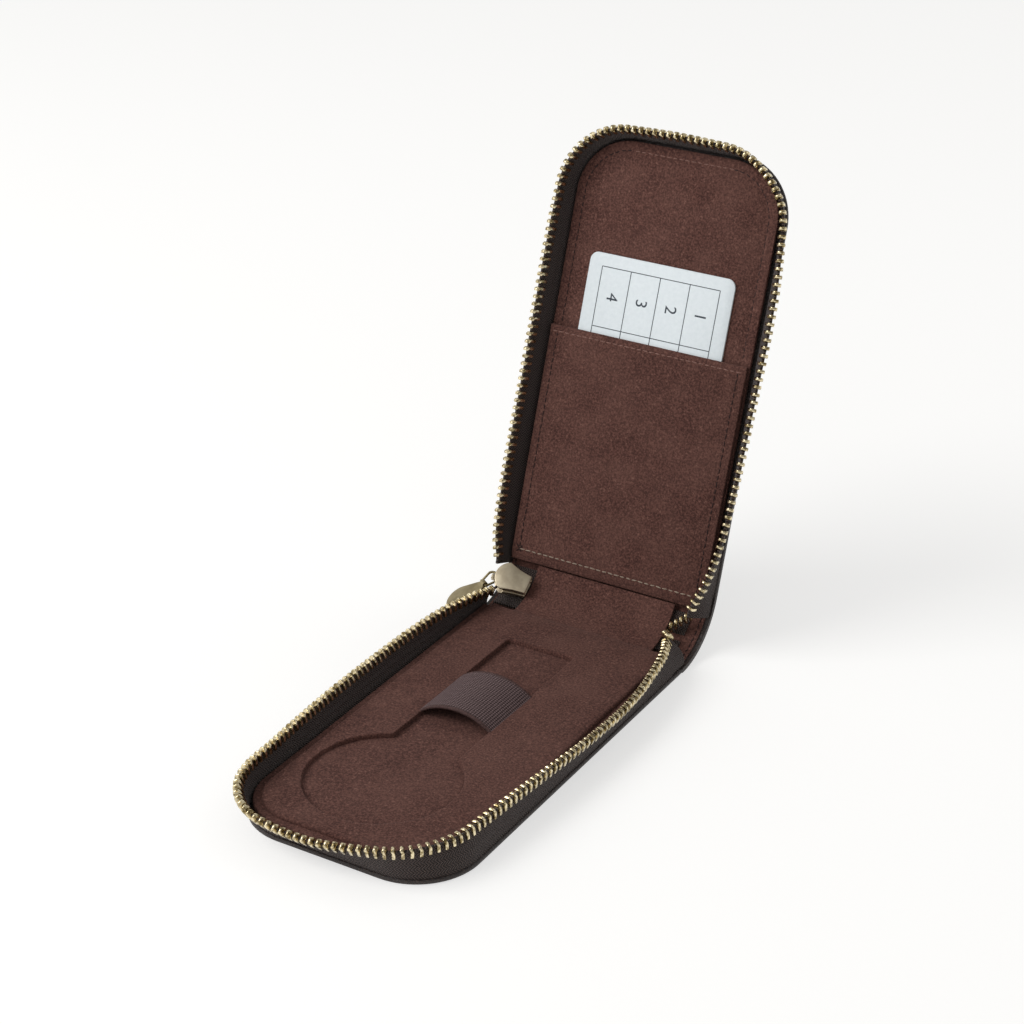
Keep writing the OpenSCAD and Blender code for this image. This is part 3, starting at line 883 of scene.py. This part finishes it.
def stitch_row(name, path, terms, material, body=None, pitch=2.3, length=1.9, radius=0.24, up=(0, 0, 1)):
    """Stitches along a path of points in panel terms"""
    master = stitch_master(length, radius)
    spots, left = [], pitch / 2
    for a, b in zip(path, path[1:]):
        a, b = Vector(a), Vector(b)
        run = (b - a).length
        while left < run:
            spots.append((a + (b - a) * left / run, (b - a).normalized()))
            left += pitch
        left -= run
    matrices, uneven = [], 0.12
    for k, (spot, along) in enumerate(spots):
        side = Vector(up).cross(along).normalized()
        lift = along.cross(side)
        turn = Matrix((along, side, lift)).transposed().to_4x4()
        skew = Matrix.Rotation(uneven * math.sin(k * 2.4), 4, "Z")
        stretch = Matrix.Scale(1 + uneven * math.sin(k * 1.7), 4, (1, 0, 0))
        matrices.append(Matrix.Translation(spot) @ turn @ (skew @ stretch))
    obj = copies(name, master, matrices)
    bpy.data.objects.remove(master)
    place(obj, terms, material, "suede" if material is not dark_thread_painted_shade else "leather", 60)
    if body:
        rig.ride(obj, body)
    return obj


def outline(half, s0, s1, corner, z):
    """Points along a panel's edge from its left fold round the free end to its right fold"""
    pts = [(-half, s0, z)]
    for sign, start in ((-1, 180), (1, 90)):
        for k in range(CORNER_STEPS + 1):
            a = math.radians(start - 90 * k / CORNER_STEPS)
            pts.append((sign * (half - corner) + corner * math.cos(a), s1 - corner + corner * math.sin(a), z))
    return pts + [(half, s0, z)]


# Base

def base_shell():
    """Outer leather of the base, its edges turned soft"""
    obj = panel("base_shell", PANEL_HALF, FOLD_Y - ARC_Y, BASE_LEN + EDGE_OUT, 0, LEATHER,
                SEAM_R + EDGE_OUT, LEATHER_ROUND)
    place(obj, ON_BASE, leather, "leather")
    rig.ride(obj, "base")
    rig.replaces(obj, "base_leather")


def base_margin():
    """The strip of lining between the zip wall and the insert"""
    start, low, rim = 1.4, 1.7, 0.5
    obj = panel("base_lining_margin", SEAM_HALF - LINING_IN, start, BASE_LEN - LINING_IN, low, LINING_Z,
                LINING_R, rim)
    place(obj, ON_BASE, suede, "suede")
    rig.ride(obj, "base")
    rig.replaces(obj, "base_lining")


def insert_pad():
    """Suede-covered foam insert: crowned, with soft edges round the recess and the channel"""
    inset, low, rim, corner = 3.6, 1.9, 0.9, SEAM_R - 4
    half = SEAM_HALF - inset
    back, front = 0.6, BASE_LEN - inset
    obj = panel("insert_pad", half, back, front, low, INSERT_TOP, corner, rim)
    bpy.ops.object.select_all(action="DESELECT")
    cut = 10
    bpy.ops.mesh.primitive_cylinder_add(vertices=96, radius=RECESS_R, depth=cut,
                                        location=(*RECESS_AT, RECESS_FLOOR + cut / 2))
    disc = newest("recess_cutter")
    bpy.ops.object.transform_apply(location=True, rotation=True, scale=True)
    slot_half = CHANNEL_W / 2
    run = box_piece("channel_cutter", (LAYOUT_X - slot_half, CHANNEL_END, RECESS_FLOOR),
                    (LAYOUT_X + slot_half, RECESS_AT[1], RECESS_FLOOR + cut))
    for cutter in (disc, run):
        add_modifier(obj, "BOOLEAN", operation="DIFFERENCE", object=cutter, solver="EXACT")
        bpy.data.objects.remove(cutter)
    add_modifier(obj, "REMESH", mode="VOXEL", voxel_size=0.5)
    add_modifier(obj, "SMOOTH", factor=0.5, iterations=3)
    # rise of the crown, general settling, fall towards the fold with its run, and width of the crown's edge
    crown, settle, slope, slope_run, edge = 0.5, 0.3, 0.6, 9.0, 14.0
    foot = RECESS_FLOOR + 0.6
    for vertex in obj.data.vertices:
        x, y, z = vertex.co
        if z > foot:
            inward = min(1, (half - abs(x)) / edge) * min(1, (y - back) / edge, (front - y) / edge)
            ripple = (0.12 * math.sin(x / 7.3 + 1) * math.sin(y / 9.1)
                      + 0.06 * math.sin(x / 3.1) * math.sin(y / 4.3))
            share = (z - foot) / (INSERT_TOP - foot)
            fall = max(0, 1 - (y - back) / slope_run) ** 2
            vertex.co.z += share * (crown * max(0, inward) ** 0.5 + ripple - settle - slope * fall)
    place(obj, ON_BASE, suede, "suede", 80)
    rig.ride(obj, "base")
    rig.replaces(obj, "insert_cover")
    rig.padded(obj, fill=0.8)


def elastic_arch():
    """Elastic arch over the channel, with a rolled hem along its front and back edges"""
    past_channel, thick, sink = 1.6, 0.9, -0.5
    half = CHANNEL_W / 2 + past_channel
    r = (half * half + BAND_RISE * BAND_RISE) / (2 * BAND_RISE)
    reach = math.asin(half / r)
    mid_r = r - 0.6

    def at(u, v):
        a = -reach + 2 * reach * v
        return Vector((LAYOUT_X + mid_r * math.sin(a), BAND_Y[0] + BAND_LEN * u,
                       INSERT_TOP + BAND_RISE - r + mid_r * math.cos(a) + sink * abs(2 * v - 1) ** 4))

    def hem_at(u, c, v):
        a = 2 * math.pi * c
        return at(u, v) + Vector((0, 0.75 * math.cos(a), 0.62 * math.sin(a)))

    arc = 2 * reach * r
    obj = sheet_grid("strap_loop", 12, 40, at, lambda u, v: (u * BAND_LEN * MM, v * arc * MM))
    add_modifier(obj, "SOLIDIFY", thickness=thick, offset=0)
    place(obj, WORLD_MM, elastic, "elastic", 50)
    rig.ride(obj, "base")
    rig.replaces(obj, "elastic_band")
    around = 4
    for side in (0, 1):
        hem = sheet_grid(f"strap_loop_hem_{side}", 10, 40, lambda c, v: hem_at(side, c, v),
                         lambda c, v: (c * around * MM, v * arc * MM))
        select_only(hem)
        bpy.ops.object.mode_set(mode="EDIT")
        bpy.ops.mesh.select_all(action="SELECT")
        bpy.ops.mesh.remove_doubles(threshold=0.001)
        bpy.ops.mesh.normals_make_consistent(inside=False)
        bpy.ops.object.mode_set(mode="OBJECT")
        place(hem, WORLD_MM, hem_elastic, "elastic", 80)
        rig.ride(hem, "base")


# Lid

def lid_shell():
    """Outer leather of the lid, puffed a little over its padding, with a groove where it is sewn"""
    obj = panel("lid_shell", PANEL_HALF, LID_ARC_S, LID_LEN + EDGE_OUT, 0, LEATHER,
                SEAM_R + EDGE_OUT, LEATHER_ROUND)
    inset_steps(obj, 0, ((1.6, 0), (0.5, 0.2), (0.5, -0.2), (1.5, -0.25), (3, -0.2)))
    flat_run = 8
    for vertex in obj.data.vertices:
        if vertex.co.y < LID_ARC_S + flat_run and vertex.co.z < LEATHER / 2:
            vertex.co.z = 0
    place(obj, ON_LID, leather, "leather", 50)
    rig.ride(obj, "lid")
    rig.replaces(obj, "lid_leather")


def lid_lining():
    """Suede lining of the lid, with the sewn groove a few millimetres in from its edge"""
    start, thick, rim = 0.6, 1.4, 0.35
    obj = panel("lid_lining_suede", SEAM_HALF - LINING_IN, start, LID_LEN - LINING_IN, LINING_Z - thick,
                LINING_Z, LINING_R, rim)
    inset_steps(obj, LINING_Z, ((2.6, 0.0), (0.5, -0.22), (0.5, 0.22)))
    place(obj, ON_LID, suede, "suede", 50)
    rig.ride(obj, "lid")
    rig.replaces(obj, "lid_lining")


def card_pocket():
    """Suede pocket panel, its top edge turned over and sewn down, its other edges caught in the seam"""
    obj = box_piece("card_pocket", (-POCKET_HALF, POCKET_START, POCKET_FLOOR),
                    (POCKET_HALF, POCKET_H, POCKET_TOP))
    pick(obj, "EDGE", lambda e: all(abs(c.z - POCKET_TOP) < 0.01 for c in ends(obj, e)))
    bpy.ops.mesh.bevel(offset=0.35, segments=3, affect="EDGES")
    bpy.ops.object.mode_set(mode="OBJECT")
    # width of the turned edge, and how far the upper and lower face sink over foot_run at the foot
    fold = 3.0
    foot_run, upper_sink, lower_sink = 5, 1.1, 0.85
    for height in (1, 2, 3, 4, foot_run, POCKET_H - fold, POCKET_H - fold + 0.5):
        bpy.ops.object.mode_set(mode="EDIT")
        bpy.ops.mesh.select_all(action="SELECT")
        bpy.ops.mesh.bisect(plane_co=(0, height, 0), plane_no=(0, 1, 0))
        bpy.ops.object.mode_set(mode="OBJECT")
    for vertex in obj.data.vertices:
        if vertex.co.y > POCKET_H - fold + 0.4 and vertex.co.z > POCKET_FLOOR + 0.4:
            vertex.co.z += HEM_RISE
        if vertex.co.y < foot_run:
            sink = (1 - vertex.co.y / foot_run) ** 2
            vertex.co.z -= (upper_sink if vertex.co.z > POCKET_FLOOR + 0.2 else lower_sink) * sink
    place(obj, ON_LID, suede, "suede", 50)
    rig.ride(obj, "lid")
    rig.replaces(obj, "pocket_panel")
    walls, inner = [], CARD_HALF + 1.2
    for x0, x1 in ((-POCKET_HALF, -inner), (inner, POCKET_HALF)):
        walls.append(box_piece("pocket_wall", (x0, POCKET_START, LINING_Z - 0.2),
                               (x1, POCKET_H - 0.3, POCKET_FLOOR + 0.1)))
        add_modifier(walls[-1], "BEVEL", width=0.1, segments=2)
    side = join("pocket_side_filling", walls)
    place(side, ON_LID, suede, "suede", 50)
    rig.ride(side, "lid")


def card_print():
    """Ruled table on the card, with a plain number in each column"""
    columns = [-22, -11, 0, 11, 22]
    top, cross, foot = 105.2, 85.0, 60.0
    number_y, number_in, number_size = 97.0, 3.6, 6
    line = 0.14
    lift = (CARD_FACE - 0.01, CARD_FACE + 0.02)
    lines = [((x - line, foot, lift[0]), (x + line, top, lift[1])) for x in columns]
    lines += [((columns[0], s - line, lift[0]), (columns[-1], s + line, lift[1])) for s in (top, cross)]
    parts = [box_piece("rule", low, high) for low, high in lines]
    for number, x in zip("4321", columns):
        bpy.ops.object.select_all(action="DESELECT")
        bpy.ops.object.text_add(location=(x + number_in, number_y, lift[0]), rotation=(0, 0, -math.pi / 2))
        text = bpy.context.active_object
        text.data.body = number
        text.data.size = number_size
        text.data.extrude = 0.015
        bpy.ops.object.convert(target="MESH")
        bpy.ops.object.transform_apply(location=True, rotation=True, scale=True)
        parts.append(bpy.context.active_object)
    obj = join("card_print", parts)
    place(obj, ON_LID, ink, "card", 20)
    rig.ride(obj, "card")


# Zip end, slider and the rows of stitches

def chain_end(tooth):
    """Closed teeth at the right end of the zip, between the two rows and the spine"""
    count = 5
    runs = (
        ((32.8, 73.6, 10.4), (28.6, 79.2, 7.8), 48),
        ((34.6, 84.9, 14.2), (28.6, 82.6, 9.2), -70),
    )
    places = []
    for first, last, turn in runs:
        for k in range(count):
            spot = Vector(first).lerp(Vector(last), k / (count - 1))
            places.append(Matrix.Translation(spot) @ Matrix.Rotation(SPINE_SLOPE, 4, "X")
                          @ Matrix.Rotation(math.radians(turn), 4, "Z"))
    chain = copies("chain_end_teeth", tooth, places)
    place(chain, WORLD_MM, brass, "brass")
    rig.ride(chain, "spine")
    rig.replaces(chain, "chain_end_right")


def cast_pieces():
    """Slider, pull and card, copied from the solids with their edges rounded"""
    for part, width, material in (
            ("slider_front_plate", 0.22, plate_brass), ("slider_back_plate", 0.22, plate_brass),
            ("slider_post", 0.1, plate_brass), ("slider_bridge", 0.25, plate_brass),
            ("pull_link", 0, pull_brass)):
        softened(part + "_cast", part, width, 2, material, "brass", "slider")
    softened("pull_tab_cast", "pull_tab", 0.25, 2, pull_brass, "brass", "pull")
    softened("name_card", "id_card", 0.12, 2, card_stock, "card", "card")


def lid_stitches():
    """Rows round the lid's lining, the pocket and the lid's back"""
    half = SEAM_HALF - LINING_IN - STITCH_IN
    side = outline(half, POCKET_H + 1, LID_LEN - LINING_IN - STITCH_IN, LINING_R - STITCH_IN, LINING_Z - 0.2)
    # the points of the left side and its corner come first, then those of the right
    corner = CORNER_STEPS + 1
    # the side rows take the dark copy of the thread, painted shade; the top row takes the rose copy, painted light
    stitch_row("lid_stitches_left", side[:corner + 1], ON_LID, dark_thread_painted_shade, "lid")
    stitch_row("lid_stitches_top", side[corner:corner + 2], ON_LID, rose_thread_painted_light, "lid")
    stitch_row("lid_stitches_right", side[corner + 1:], ON_LID, dark_thread_painted_shade, "lid")
    # the pocket's side rows take the dark copy of the thread, painted shade
    for sign, word in SIDES:
        path = [(sign * half, y, POCKET_TOP) for y in (5, POCKET_H - 1)]
        stitch_row(f"pocket_stitches_{word}", path, ON_LID, dark_thread_painted_shade, "lid")
    foot_y, edge_y, edge_z = 4.6, POCKET_H - 2.1, POCKET_TOP + HEM_RISE
    # the bottom row takes the pale copy of the thread, painted light, and the turned edge takes the rose copy, painted
    # light
    stitch_row("pocket_stitches_bottom", [(-half, foot_y, POCKET_TOP), (half, foot_y, POCKET_TOP)],
               ON_LID, pale_thread_painted_light, "lid")
    stitch_row("pocket_stitches_edge", [(-half - 2, edge_y, edge_z), (half + 2, edge_y, edge_z)],
               ON_LID, rose_thread_painted_light, "lid")
    back_in = 2.6
    back = outline(PANEL_HALF - back_in, LID_ARC_S, LID_LEN + EDGE_OUT - back_in, SEAM_R - 1.6, 0.05)
    stitch_row("lid_back_stitches", back, ON_LID, dark_thread_painted_shade, "lid")
    # the knot at the pocket's foot takes the dark copy of the thread, painted shade
    cross = [(-half + x, y, POCKET_TOP) for x, y in ((-0.9, 3.6), (1, 5.6), (-1, 5.6), (0.9, 3.6))]
    stitch_row("pocket_knot", cross, ON_LID, dark_thread_painted_shade, "lid", pitch=0.9, length=1.3)


def spine_stitches():
    """Rows up both sides of the spine's facing, each in two parts that bend with it"""
    x, r, steps = 36.2, ARC_R - LEATHER - 0.6, 12
    for sign, word in SIDES:
        for part, a0, a1, a, b, span in (("base", 6, 35, "base", "spine", BASE_FOLD_BLEND),
                                         ("lid", 36, 66, "spine", "lid", LID_FOLD_BLEND)):
            path = [arc_point(sign * x, r, a0 + (a1 - a0) * k / steps) for k in range(steps + 1)]
            row = stitch_row(f"spine_stitches_{word}_{part}", path, WORLD_MM, dark_thread_painted_shade)
            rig.blend(row, a, b, **span)


def dress_inner_layers():
    """Gives the boards and foams that stay as the solids their own materials"""
    for node, material in (("base_board", board), ("lid_board", board), ("insert_foam", foam),
                           ("lid_padding", foam)):
        mesh = frame["nodes"][node].data
        mesh.materials.clear()
        mesh.materials.append(material)


# Floor, light and camera

def white_floor():
    """Pale floor that keeps a light shadow, and shows nearly white to the camera and in the metal"""
    bpy.ops.object.select_all(action="DESELECT")
    bpy.ops.mesh.primitive_plane_add(size=12, location=(0, 0, -0.0001))
    floor = newest("floor")
    material = bpy.data.materials.new("floor_paint")
    material.use_nodes = True
    tree = material.node_tree
    tree.nodes.clear()
    paint = add_node(tree, "BsdfDiffuse", {"Color": linear("f4f3f1")})
    thin = add_node(tree, "BsdfDiffuse", {"Color": linear("c4c3c0")})
    glow = add_node(tree, "Emission", {"Color": linear("ffffff"), "Strength": 0.58})
    lit = add_node(tree, "AddShader", links={0: thin.outputs[0], 1: glow.outputs[0]})
    seen = add_node(tree, "LightPath")
    both = combine(tree, "MAXIMUM", seen.outputs["Is Camera Ray"], seen.outputs["Is Glossy Ray"])
    total = add_node(tree, "MixShader", links={0: both, 1: paint.outputs[0], 2: lit.outputs[0]})
    add_node(tree, "OutputMaterial", links={"Surface": total.outputs[0]})
    floor.data.materials.append(material)
    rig.stage(floor)


def light_room():
    """Even white surroundings, dimmer overhead, and one large soft lamp on the left"""
    world = bpy.data.worlds.new("studio")
    bpy.context.scene.world = world
    world.use_nodes = True
    tree = world.node_tree
    tree.nodes.clear()
    seen = add_node(tree, "LightPath").outputs["Is Camera Ray"]
    sides = add_node(tree, "SeparateXYZ", links={0: add_node(tree, "TexCoord").outputs["Generated"]}).outputs
    left = add_node(tree, "MapRange", {1: -0.8, 2: 0.8, 3: 1.2, 4: 0.7}, {0: sides[0]}).outputs[0]
    dome = add_node(tree, "MapRange", {1: 0.2, 2: 0.9, 3: 0.72, 4: 0.34}, {0: sides[2]}).outputs[0]
    strength = combine(tree, "MAXIMUM", seen, combine(tree, "MULTIPLY", dome, left))
    sky = add_node(tree, "Background", {"Color": linear("ffffff")}, {"Strength": strength})
    add_node(tree, "OutputWorld", links={"Surface": sky.outputs[0]})
    lamps = (("key_lamp", (-0.75, -0.62, 0.95), 9.0, 0.8), ("rim_lamp", (0.5, 0.9, 0.9), 1.0, 0.6))
    for name, spot, power, size in lamps:
        bpy.ops.object.select_all(action="DESELECT")
        bpy.ops.object.light_add(type="AREA", location=spot)
        lamp = bpy.context.active_object
        lamp.name = name
        lamp.data.energy = power
        lamp.data.size = size
        aim = Vector((0, 0, 0.05)) - Vector(spot)
        lamp.rotation_euler = aim.to_track_quat("-Z", "Y").to_euler()


def set_camera():
    """The photograph's viewpoint: 31 degrees to the right of the front, 27 degrees up"""
    look_at = Vector((-0.02842, 0.07526, 0.04))
    azimuth, elevation, distance = math.radians(31.11), math.radians(26.85), 0.8078
    back = Vector((math.cos(elevation) * math.sin(azimuth), -math.cos(elevation) * math.cos(azimuth),
                   math.sin(elevation)))
    bpy.ops.object.select_all(action="DESELECT")
    bpy.ops.object.camera_add(location=look_at + back * distance)
    camera = bpy.context.active_object
    camera.rotation_euler = (-back).to_track_quat("-Z", "Y").to_euler()
    camera.data.sensor_width = 36
    camera.data.sensor_fit = "HORIZONTAL"
    camera.data.lens = 84.94
    camera.data.clip_start = 0.01
    bpy.context.scene.camera = camera


base_shell()
base_margin()
insert_pad()
elastic_arch()
lid_shell()
lid_lining()
card_pocket()
spine_pieces()
zip_tooth = tooth_master()
zip_rows(zip_tooth)
chain_end(zip_tooth)
bpy.data.objects.remove(zip_tooth)
cast_pieces()
card_print()
lid_stitches()
spine_stitches()
dress_inner_layers()
white_floor()
light_room()
set_camera()
bpy.context.scene.view_settings.view_transform = "Standard"

with open("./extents.json", "w") as sizes:
    visual_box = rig.bounds()
    json.dump({"cad": [list(corner) for corner in cad_box],
               "visual": [list(corner) for corner in visual_box]}, sizes)
